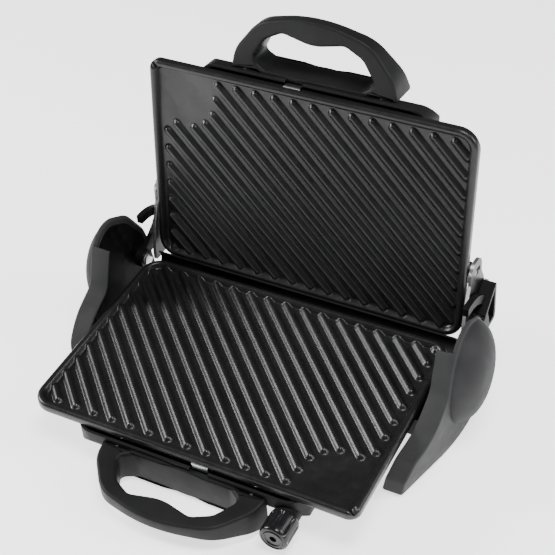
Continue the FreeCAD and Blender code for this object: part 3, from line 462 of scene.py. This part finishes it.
def ridge_ends(index):
    """A ridge's back-left and front-right ends."""
    front_x, front_y = RIDGE_FIRST_X + index * RIDGE_STEP, RIDGE_FRONT
    back_x, back_y = front_x - (RIDGE_BACK - RIDGE_FRONT), RIDGE_BACK
    if back_x < RIDGE_LEFT:
        back_x, back_y = RIDGE_LEFT, RIDGE_FRONT + front_x - RIDGE_LEFT
    across = (front_x + front_y - DISH_X - DISH_Y) / 2 ** 0.5
    if abs(across) < DISH_RADIUS:
        chord = (DISH_RADIUS ** 2 - across ** 2) ** 0.5
        front_x = DISH_X + (across - chord) / 2 ** 0.5
        front_y = DISH_Y + (across + chord) / 2 ** 0.5
    elif front_x > RIDGE_RIGHT:
        front_x, front_y = RIDGE_RIGHT, RIDGE_FRONT + front_x - RIDGE_RIGHT
    return (back_x, back_y), (front_x, front_y)


def eased(t):
    """A smooth step from 0 to 1 as t goes from 0 to 1."""
    return (1 - np.cos(pi * np.clip(t, 0.0, 1.0))) / 2


def dish_depth(x, y):
    """How far the drain dish and its creases sink the floor over points x, y."""
    across, along = x - DISH_X - DISH_SHIFT, y - DISH_Y + DISH_SHIFT
    reach = np.hypot(across, along) / (DISH_RADIUS + DISH_SPREAD)
    creases = CREASE_DEPTH * np.cos(CREASE_COUNT * np.arctan2(along, across))
    return DISH_DEPTH * eased(DISH_EDGE - reach) + creases * eased(2.0 - 4.0 * abs(reach - 0.5))


def plate_height(x, y):
    """The plate's upper surface over points x, y."""
    floor = -PAN_DEPTH - dish_depth(x, y)
    raised = np.zeros_like(x)
    for index in range(RIDGE_COUNT):
        (ax, ay), (bx, by) = ridge_ends(index)
        length = hypot(bx - ax, by - ay)
        ux, uy = (bx - ax) / length, (by - ay) / length
        along = np.clip((x - ax) * ux + (y - ay) * uy, 0.0, length)
        away = np.hypot(x - ax - along * ux, y - ay - along * uy)
        share = np.clip(1.0 - (away / RIDGE_HALF_WIDTH) ** 2, 0.0, 1.0)
        raised = np.maximum(raised, RIDGE_HEIGHT * share ** RIDGE_ROUNDNESS)
    inset = plate_inset(x, y)
    down = (inset - CREST_INSET - RIM_CREST_WIDTH) / (RIM_FOOT - CREST_INSET)
    rim = -(PAN_DEPTH + RIM_OVERRUN) * eased(down)
    height = np.maximum(rim, floor + raised)
    return lowered_rim(x, y, height)


def lowered_rim(x, y, height):
    """Cuts the spout's groove through the rim."""
    sideways = np.abs((x - HALF_LENGTH) + (y + HALF_WIDTH)) / 2 ** 0.5
    ahead = (x - y) - (HALF_LENGTH + HALF_WIDTH - SPOUT_REACH)
    side = SPOUT_SLOPE * np.maximum(sideways - SPOUT_HALF_FLAT, 0.0)
    groove = -SPOUT_DEPTH + side - SPOUT_FALL * ahead
    return np.where(ahead > 0, np.minimum(height, groove), height)


def lattice_axis(half):
    """Grid lines along one axis: even over the floor, closer together over the rim."""
    core = half - PLATE_CORNER
    lines = list(np.linspace(-core, core, int(2 * core) + 1))
    steps = list(np.arange(1.0, 8.01, 1.0)) + list(np.linspace(8.7, PLATE_CORNER - CREST_INSET, 9))
    return [-core - s for s in reversed(steps)] + lines + [core + s for s in steps]


def lattice_corner(a, b, sign_x, sign_y):
    """Bends the lattice's square corner to the plate's round one."""
    ring = max(a, b)
    angle = (pi / 4) * (b / a) if a >= b else pi / 2 - (pi / 4) * (a / b)
    low, high = 0.0, 2.0 * ring
    for _ in range(30):
        middle = (low + high) / 2
        x = sign_x * (HALF_LENGTH - PLATE_CORNER + middle * cos(angle))
        y = sign_y * (HALF_WIDTH - PLATE_CORNER + middle * sin(angle))
        if plate_inset(np.array(x), np.array(y)) > PLATE_CORNER - ring:
            low = middle
        else:
            high = middle
    return low * cos(angle), low * sin(angle)


def plate_mesh():
    """A ridged plate as one closed mesh: upper lattice, rounded edge, skirt, underside."""
    lines_x, lines_y = lattice_axis(HALF_LENGTH), lattice_axis(HALF_WIDTH)
    core_x, core_y = HALF_LENGTH - PLATE_CORNER, HALF_WIDTH - PLATE_CORNER
    columns, rows = len(lines_x), len(lines_y)
    spots = np.zeros((columns, rows, 2))
    for i, line_x in enumerate(lines_x):
        for j, line_y in enumerate(lines_y):
            x, y = line_x, line_y
            a, b = abs(x) - core_x, abs(y) - core_y
            if a > 0 and b > 0:
                sign_x, sign_y = np.sign(x), np.sign(y)
                a, b = lattice_corner(a, b, sign_x, sign_y)
                x, y = sign_x * (core_x + a), sign_y * (core_y + b)
            spots[i, j] = x, y
    x, y = spots[..., 0].ravel(), spots[..., 1].ravel()
    top = np.stack([x, y, plate_height(x, y)], axis=1)
    faces = []
    for i in range(columns - 1):
        for j in range(rows - 1):
            a, b = i * rows + j, (i + 1) * rows + j
            faces += [(a, b, a + 1), (b, b + 1, a + 1)]
    edge = ([i * rows for i in range(columns)]
            + [(columns - 1) * rows + j for j in range(1, rows)]
            + [i * rows + rows - 1 for i in range(columns - 2, -1, -1)]
            + [j for j in range(rows - 2, 0, -1)])
    border = top[edge]
    profile = [(CREST_INSET * sin(radians(a)), -EDGE_DROP * (1 - cos(radians(a))))
               for a in (18, 36, 54, 70, 82, 90)]
    profile += [(CREST_INSET, -5.4), (CREST_INSET, -PLATE_THICKNESS + 0.6),
                (CREST_INSET - 0.6, -PLATE_THICKNESS), (-SKIRT_INSET, -PLATE_THICKNESS)]
    vertices = [top]
    start = edge
    count = len(edge)
    base = len(top)
    for outward, z in profile:
        ring = inward(border[:, :2], -outward)
        height = np.full(count, z)
        if z > -PLATE_THICKNESS + 1.0:
            height = lowered_rim(ring[:, 0], ring[:, 1], height)
        vertices.append(np.column_stack([ring, height]))
        faces += [(start[k], start[(k + 1) % count], base + (k + 1) % count, base + k)
                  for k in range(count)]
        start = [base + k for k in range(count)]
        base += count
    faces.append(tuple(start))
    return np.concatenate(vertices), faces


# ---- Pieces whose CAD shape is right, given eased edges ---------------------
def diced(mesh, spacing):
    """Splits a mesh's large flat faces on a grid, so that the painted highlight on its edges stays by its edges.
    """
    work = bmesh.new()
    work.from_mesh(mesh)
    for axis in range(3):
        normal = Vector((0.0, 0.0, 0.0))
        normal[axis] = 1.0
        places = [vert.co[axis] for vert in work.verts]
        for place in np.arange(min(places) + spacing / 2, max(places), spacing):
            geometry = work.verts[:] + work.edges[:] + work.faces[:]
            bmesh.ops.bisect_plane(work, geom=geometry, dist=1e-6, plane_co=normal * float(place),
                                   plane_no=normal)
    work.to_mesh(mesh)
    work.free()


def softened(node, slot, body, width):
    """A copy of a CAD node's mesh with every sharp edge rounded by width, in millimetres."""
    work = bmesh.new()
    work.from_mesh(frame["nodes"][node].data)
    bmesh.ops.remove_doubles(work, verts=work.verts, dist=CAD_MERGE_DISTANCE)
    bmesh.ops.dissolve_limit(work, angle_limit=radians(FLAT_ANGLE), verts=work.verts,
                             edges=work.edges)
    mesh = bpy.data.meshes.new(node + "_skin")
    work.to_mesh(mesh)
    work.free()
    mesh.shade_smooth()
    piece = bpy.data.objects.new(node + "_skin", mesh)
    bpy.context.scene.collection.objects.link(piece)
    ease = piece.modifiers.new("eased edges", "BEVEL")
    ease.width = width / 1000
    ease.segments = EASED_SEGMENTS
    ease.limit_method = "ANGLE"
    ease.angle_limit = radians(EASED_ANGLE)
    ease.use_clamp_overlap = True
    apply_modifiers(piece)
    diced(piece.data, DICE_SPACING)
    shading = piece.modifiers.new("even shading", "WEIGHTED_NORMAL")
    shading.mode = "FACE_AREA"
    shading.weight = SHADING_WEIGHT
    apply_modifiers(piece)
    piece.data.materials.clear()
    piece.data.materials.append(MATERIALS[slot])
    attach(piece, body)
    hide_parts(node)


# ---- Handles ----------------------------------------------------------------
HANDLE_TOP = -12.0
HANDLE_UNDER = (-23.0, -24.0, -42.4, -42.8)  # heights along its underside, tip to root
HANDLE_ROUND, HOLE_ROUND = 2.6, 3.0
ROUND_SHARE, HOLE_ROUND_SHARE = 0.4, 0.35    # of the grip's width, where it is thin


def handle_mesh(count=300):
    """D-shaped grip: a closed ring of rounded sections, deepest at its root."""
    front, root = -HALF_WIDTH, SHELL_FRONT - 0.05
    outer = [(0.0, root), (75.5, root), (72.0, front - 21.0, 34.0), (50.5, front - 48.5, 34.0),
             (0.0, front - 62.0, 110.0), (-50.5, front - 48.5, 34.0),
             (-72.0, front - 21.0, 34.0), (-75.5, root)]
    hole = [(0.0, front - 6.0), (44.0, front - 6.0, 7.0), (56.0, front - 14.0, 6.0),
            (44.0, front - 34.0, 14.0), (28.0, front - 42.5, 10.0), (0.0, front - 36.0, 40.0),
            (-28.0, front - 42.5, 10.0), (-44.0, front - 34.0, 14.0), (-56.0, front - 14.0, 6.0),
            (-44.0, front - 6.0, 7.0)]
    outer = resampled(rounded(outer, 10), count)
    hole = resampled(rounded(hole, 8), count)
    reach = np.hypot(*(outer - hole).T)
    outer_round = np.minimum(HANDLE_ROUND, ROUND_SHARE * reach)
    hole_round = np.minimum(HOLE_ROUND, HOLE_ROUND_SHARE * reach)

    def under(points):
        return np.interp(points[:, 1], [front - 63.0, front - 58.0, root - 4.0, root],
                         HANDLE_UNDER)

    turns = np.linspace(0.0, pi / 2, 6)
    top, rings = np.full(count, HANDLE_TOP), []
    for t in turns:
        rings.append((outer, outer_round * (1 - sin(t)), top - outer_round * (1 - cos(t))))
    for t in turns:
        rings.append((outer, outer_round * (1 - cos(t)), under(outer) + outer_round * (1 - sin(t))))
    for t in turns:
        rings.append((hole, -hole_round * (1 - sin(t)), under(hole) + hole_round * (1 - cos(t))))
    for t in turns:
        rings.append((hole, -hole_round * (1 - cos(t)), top - hole_round * (1 - sin(t))))
    vertices, faces = [], []
    for loop, inset, height in rings:
        vertices.append(np.column_stack([inward(loop, inset), height]))
    for index in range(len(rings)):
        faces += bridge(index * count, (index + 1) % len(rings) * count, count)
    return np.concatenate(vertices), faces


# ---- Cheeks -----------------------------------------------------------------
def table_height(y):
    """Height of the table's top in the tilted grill frame."""
    return TABLE_AT_CENTRE - tan(TILT) * y


def cheek_outlines(count=440):
    """A cheek's outer edge and the edge of its inner rim, point for point, as (y, z)."""
    toe, heel = table_height(-28.5) + FOOT_HEIGHT, table_height(118.5) + FOOT_HEIGHT
    outer = [(-28.5, -36.0, 12.0), (-28.5, toe, 4.0), (118.5, heel, 8.0), (130.5, -44.0, 40.0),
             (122.0, 8.0, 44.0), (98.0, 44.0, 36.0), (66.0, 62.0, 25.0), (44.0, 50.0, 25.0),
             (31.5, 12.5, 14.0), (8.0, 0.5, 40.0), (-18.5, -14.5, 18.0)]
    inner = [(-28.5, -37.0, 12.0), (-28.5, toe, 4.0), (118.5, heel, 8.0), (129.5, -44.0, 40.0),
             (120.5, 7.0, 44.0), (96.5, 42.0, 34.0), (66.0, 59.0, 23.0), (45.5, 48.0, 23.0),
             (32.0, 10.5, 14.0), (7.0, -1.0, 40.0), (-19.0, -16.0, 18.0)]
    return [np.array(spread(rounded(corners, 12), count, len(corners)))
            for corners in (outer, inner)]


def spread(points, count, corners):
    """Even points between fixed ones, so that two like outlines stay in step."""
    per_side = len(points) // corners
    share = count // corners
    result = []
    for corner in range(corners):
        start = points[corner * per_side:(corner + 1) * per_side + 1]
        if corner == corners - 1:
            start = points[corner * per_side:] + points[:1]
        line = np.array(start)
        lengths = np.concatenate([[0.0], np.cumsum(np.hypot(*np.diff(line, axis=0).T))])
        places = np.linspace(0.0, lengths[-1], share, endpoint=False)
        result += list(zip(np.interp(places, lengths, line[:, 0]),
                           np.interp(places, lengths, line[:, 1])))
    return result


def turned_in(points, x):
    """Where a side that stands at x by a cheek's head lies over points (y, z): its leg turns in."""
    points = np.asarray(points, float)
    angle = radians(LEG_ANGLE)
    along = (HEAD_Y - points[..., 0]) * cos(angle) + (HEAD_Z - points[..., 1]) * sin(angle)
    begin = LEG_BEND_START - LEG_BEND_RADIUS * tan(atan2(LEG_TAPER, 1.0) / 2)
    finish = begin + LEG_BEND_RADIUS * sin(atan2(LEG_TAPER, 1.0))
    bend = np.clip(along - begin, 0.0, finish - begin)
    arc = LEG_BEND_RADIUS - np.sqrt(LEG_BEND_RADIUS ** 2 - bend ** 2)
    return x - arc - LEG_TAPER * np.maximum(along - finish, 0.0)


def rim_reach(outline):
    """How far in a cheek's rim reaches: fully, except where it is cut back for the arms."""
    angle = np.degrees(np.arctan2(outline[:, 1] - PIVOT_Z, outline[:, 0] - PIVOT_Y))
    cut_back = (angle > CUT_START) & (angle < CUT_FINISH)
    return np.where(cut_back, turned_in(outline, CHEEK_WALL), turned_in(outline, CHEEK_INNER))


def cheek_mesh():
    """One cheek: outer face, rounded edge, flared rim, lip and the room inside."""
    outer, inner = cheek_outlines()
    count = len(outer)
    reach = rim_reach(inner)
    side, wall = turned_in(outer, CHEEK_OUTER), turned_in(inner, CHEEK_WALL)
    rings = [(inward(outer, CHEEK_EDGE_ROUND * (1 - sin(t))),
              side - CHEEK_EDGE_ROUND * (1 - cos(t)))
             for t in np.linspace(0.0, pi / 2, 7)]
    rings += [(inner, np.minimum(reach + 0.8, wall)), (inward(inner, 0.8), np.minimum(reach, wall)),
              (inward(inner, 2.2), np.minimum(reach, wall)),
              (inward(inner, 3.0), np.minimum(reach + 0.8, wall)),
              (inward(inner, 3.2), wall - 0.6), (inward(inner, 4.4), wall)]
    vertices = [np.column_stack([x, ring]) for ring, x in rings]
    faces = []
    for index in range(len(rings) - 1):
        faces += bridge(index * count, (index + 1) * count, count)
    base = len(rings) * count
    for start, ring, x in ((0, rings[0][0], CHEEK_OUTER), (base - count, rings[-1][0], CHEEK_WALL)):
        outline = [tuple(point) for point in ring]
        extra, triangles = filled(outline, grid_inside(outline, 6.0, 2.5))
        vertices.append(np.array([(float(turned_in(p, x)), p.x, p.y) for p in extra]))
        shift = base - count
        faces += [tuple(i + (start if i < count else shift) for i in face) for face in triangles]
        base += len(extra)
    return np.concatenate(vertices), faces


RECESS_RIBS = (((66.0, 44.0), (84.0, 2.0)), ((76.0, 47.0), (92.0, 8.0)),
               ((24.0, -8.0), (24.0, -52.0)), ((12.0, -10.0), (12.0, -52.0)))
RECESS_RIB_HALF_WIDTH = 2.6
RECESS_RIB_HEIGHT = 1.2
RECESS_RIB_FLANK = 1.6                  # how steeply a rib's sides fall
LINING_INSET, LINING_HALF_THICKNESS = 4.8, 0.5
LINING_GRID, LINING_MARGIN = 2.6, 1.6


def lining_mesh():
    """The inner face of a cheek: a thin near-black sheet on its wall with raised ribs, painted shade for the room
    inside.
    """
    _, inner = cheek_outlines()
    ring = inward(inner, LINING_INSET)
    count = len(ring)
    outline = [tuple(point) for point in ring]
    extra, triangles = filled(outline, grid_inside(outline, LINING_GRID, LINING_MARGIN))
    places = np.array([(p.x, p.y) for p in extra])
    raised = np.full(len(places), LINING_HALF_THICKNESS)
    for start, finish in RECESS_RIBS:
        start, run = np.array(start), np.array(finish) - np.array(start)
        share = np.clip((places - start) @ run / (run @ run), 0.0, 1.0)
        away = np.hypot(*(places - start - share[:, None] * run).T)
        flank = RECESS_RIB_FLANK - RECESS_RIB_FLANK * away / RECESS_RIB_HALF_WIDTH
        raised = np.maximum(raised, LINING_HALF_THICKNESS + RECESS_RIB_HEIGHT * eased(flank))
    wall = turned_in(ring, CHEEK_WALL)
    vertices = [np.column_stack([wall - LINING_HALF_THICKNESS, ring]),
                np.column_stack([wall + LINING_HALF_THICKNESS, ring]),
                np.column_stack([turned_in(places, CHEEK_WALL) - raised, places])]
    faces = bridge(0, count, count)
    faces += [tuple(i if i < count else i + count for i in face) for face in triangles]
    _, back = filled(outline)
    faces += [tuple(i + count for i in face) for face in back]
    return np.concatenate(vertices), faces


DOME_SQUARENESS, DOME_SHOULDER = 2.6, 0.62
DOME_BACK = (0.94, -0.3), (1.0, -0.3)   # reach and height of its rolled edge


def dome_mesh(count=144):
    """The bulging oval cap: a soft-shouldered dome with a rolled edge and a flat back."""
    rows = list(DOME_BACK)
    rows += [(reach, DOME_HEIGHT * (1 - reach ** DOME_SQUARENESS) ** DOME_SHOULDER)
             for reach in np.cos(np.linspace(0.06, pi / 2, 30))[:-1]]
    vertices, faces = [], []
    for reach, rise in rows:
        for step in range(count):
            angle = 2 * pi * step / count
            vertices.append((CHEEK_OUTER + rise, HEAD_Y + DOME_HALF_WIDTH * reach * cos(angle),
                             HEAD_Z + DOME_HALF_HEIGHT * reach * sin(angle)))
    for row in range(len(rows) - 1):
        faces += bridge(row * count, (row + 1) * count, count)
    top = len(vertices)
    vertices.append((CHEEK_OUTER + DOME_HEIGHT, HEAD_Y, HEAD_Z))
    last = (len(rows) - 1) * count
    faces += [(last + i, last + (i + 1) % count, top) for i in range(count)]
    faces.append(tuple(range(count)))
    return vertices, faces


# ---- Knob -------------------------------------------------------------------
KNOB_LENGTH = KNOB_BACK - KNOB_FRONT
KNOB_PROFILE = (                        # radius, distance behind its end face
    (3.0, 3.0), (3.0, 0.8), (6.6, 0.8), (7.2, 0.0), (8.2, 0.0), (8.8, 0.8), (9.6, 0.8),
    (10.4, 0.1), (11.2, 0.3), (12.0, 1.0), (KNOB_RADIUS, 2.4), (KNOB_RADIUS, 5.0),
    (KNOB_RADIUS, KNOB_LENGTH - 4.0), (KNOB_RADIUS, KNOB_LENGTH - 2.0),
    (KNOB_RADIUS - 0.6, KNOB_LENGTH),
)
FLUTE_COUNT, FLUTE_DEPTH, FLUTE_SHARPNESS = 8, 1.5, 1.5


def knob_mesh(count=192):
    """Fluted knob with a raised ring in its end face."""
    vertices, faces = [], []
    for radius, back in KNOB_PROFILE:
        run_in = np.clip((back - 1.5) / 3.0, 0.0, 1.0)
        run_out = np.clip((KNOB_LENGTH - 2.5 - back) / 1.5, 0.0, 1.0)
        depth = FLUTE_DEPTH * run_in * run_out
        for step in range(count):
            angle = 2 * pi * step / count
            flute = max(0.0, cos(FLUTE_COUNT * angle)) ** FLUTE_SHARPNESS * depth
            r = radius - flute
            vertices.append((KNOB_X + r * cos(angle), KNOB_FRONT + back, KNOB_Z + r * sin(angle)))
    last = (len(KNOB_PROFILE) - 1) * count
    for start in range(0, last, count):
        faces += bridge(start, start + count, count)
    faces.append(tuple(range(count)))
    faces.append(tuple(range(last, last + count)))
    return vertices, faces


# ---- Building the pieces ----------------------------------------------------
def build_plates():
    """Both cooking plates, from one mesh."""
    vertices, faces = plate_mesh()
    for node, place, body in (("base_plate", BASE, "base"), ("lid_plate", LID, "lid")):
        make_piece(node + "_skin", vertices, faces, place, "nonstick_plate", body, node, 70.0)


def build_handles():
    """Both grips, from one mesh."""
    vertices, faces = handle_mesh()
    for node, place, body in (("base_handle", BASE, "base"), ("lid_handle", LID, "lid")):
        make_piece(node + "_skin", vertices, faces, place, "handle_plastic", body, node, 50.0)


def build_cheeks():
    """The right cheek with its painted-shade lining and its dome, and their mirror images."""
    cheek, lining, dome = cheek_mesh(), lining_mesh(), dome_mesh()
    for side, place in (("right_", BASE), ("left_", BASE @ MIRROR)):
        make_piece(side + "cheek_skin", *cheek, place, "cheek_plastic", "base", side + "cheek",
                   40.0)
        # The lining's near-black material is painted shade for the room inside the cheek.
        make_piece(side + "cheek_lining", *lining, place, "cheek_plastic", "base",
                   side + "cheek", 50.0, PAINTED_SHADE_LINING)
        make_piece(side + "dome_skin", *dome, place, "cheek_plastic", "base",
                   side + "dome_cap", 40.0)


def build_knob():
    """The control knob."""
    make_piece("control_knob_skin", *knob_mesh(), BASE, "knob_plastic", "knob",
               "control_knob", 32.0)


SOFTENED = (
    # node, slot, body, width of its eased edges
    ("base_shell", "housing_plastic", "base", 0.7),
    ("lid_shell", "housing_plastic", "lid", 0.7),
    ("base_bottom_cover", "housing_plastic", "base", 0.4),
    ("cord_gland", "gland_plastic", "base", 0.8),
    ("rubber_feet", "foot_rubber", "base", 0.4),
    ("base_clip", "bright_clip", "base_release", 0.25),
    ("lid_clip", "bright_clip", "lid_release", 0.25),
    ("right_arm_cover", "arm_plastic", "arms", 0.6),
    ("left_arm_cover", "arm_plastic", "arms", 0.6),
    ("right_arm_link", "link_steel", "arms", 0.35),
    ("left_arm_link", "link_steel", "arms", 0.35),
    ("right_lid_bracket", "black_steel", "lid", 1.4),
    ("left_lid_bracket", "black_steel", "lid", 1.4),
)


def build_softened():
    """The pieces that keep their CAD shape."""
    for row in SOFTENED:
        softened(*row)


# ---- Stage ------------------------------------------------------------------
WHITE = (1.0, 1.0, 1.0, 1.0)
FLOOR_GLOW = 1.7
FLOOR_REACH = 6.0                       # metres each way
SKY_STRENGTH = 0.1
LIGHT_AIM = (0.0, 0.0, 0.12)
LIGHTS = (
    # name, place, size, watts
    ("overhead softbox", (0.5, -0.5, 2.1), (0.9, 0.6), 46.0),
    ("left softbox", (-1.8, -0.4, 1.0), (0.5, 0.8), 50.0),
    ("right softbox", (1.7, 0.5, 1.3), (0.7, 0.9), 30.0),
)
CAMERA_AZIMUTH, CAMERA_ELEVATION, CAMERA_ROLL = 30.10, 41.48, -4.73  # against the lower plate
CAMERA_AT = (422.4, -657.6, 792.6)      # in the base's grill frame
CAMERA_LENS, SENSOR_WIDTH = 85.65, 36.0


def build_stage():
    """Plain pale floor and soft studio lights."""
    pale = Surface("pale floor", (0.93, 0.93, 0.93), 0.7)
    pale.shader.inputs["Emission Color"].default_value = WHITE
    pale.shader.inputs["Emission Strength"].default_value = FLOOR_GLOW
    mesh = bpy.data.meshes.new("floor")
    corners = ((-1, -1), (1, -1), (1, 1), (-1, 1))
    mesh.from_pydata([(FLOOR_REACH * x, FLOOR_REACH * y, 0.0) for x, y in corners], [],
                     [(0, 1, 2, 3)])
    floor = bpy.data.objects.new("floor", mesh)
    floor.data.materials.append(pale.material)
    bpy.context.scene.collection.objects.link(floor)

    world = bpy.data.worlds.new("studio")
    world.use_nodes = True
    background = world.node_tree.nodes["Background"]
    background.inputs["Color"].default_value = WHITE
    background.inputs["Strength"].default_value = SKY_STRENGTH
    bpy.context.scene.world = world
    aim = Vector(LIGHT_AIM)
    for name, at, size, power in LIGHTS:
        lamp = bpy.data.lights.new(name, "AREA")
        lamp.shape = "RECTANGLE"
        lamp.size, lamp.size_y = size
        lamp.energy = power
        light = bpy.data.objects.new(name, lamp)
        light.location = at
        light.rotation_euler = (aim - Vector(at)).to_track_quat("-Z", "Y").to_euler()
        bpy.context.scene.collection.objects.link(light)


def build_camera():
    """The camera that was fitted to the photo."""
    azimuth, elevation, roll = (radians(a) for a in
                                (CAMERA_AZIMUTH, CAMERA_ELEVATION, CAMERA_ROLL))
    turn = (Matrix.Rotation(azimuth, 4, "Z") @ Matrix.Rotation(pi / 2 - elevation, 4, "X")
            @ Matrix.Rotation(roll, 4, "Z"))
    camera = bpy.data.objects.new("camera", bpy.data.cameras.new("camera"))
    camera.data.lens = CAMERA_LENS
    camera.data.sensor_width = SENSOR_WIDTH
    at = BASE @ Vector(CAMERA_AT)
    camera.matrix_world = Matrix.Translation(at) @ BASE_TURN @ turn
    bpy.context.scene.collection.objects.link(camera)
    bpy.context.scene.camera = camera


build_camera()
finish_cad_nodes()
build_plates()
build_handles()
build_cheeks()
build_knob()
build_softened()
build_stage()
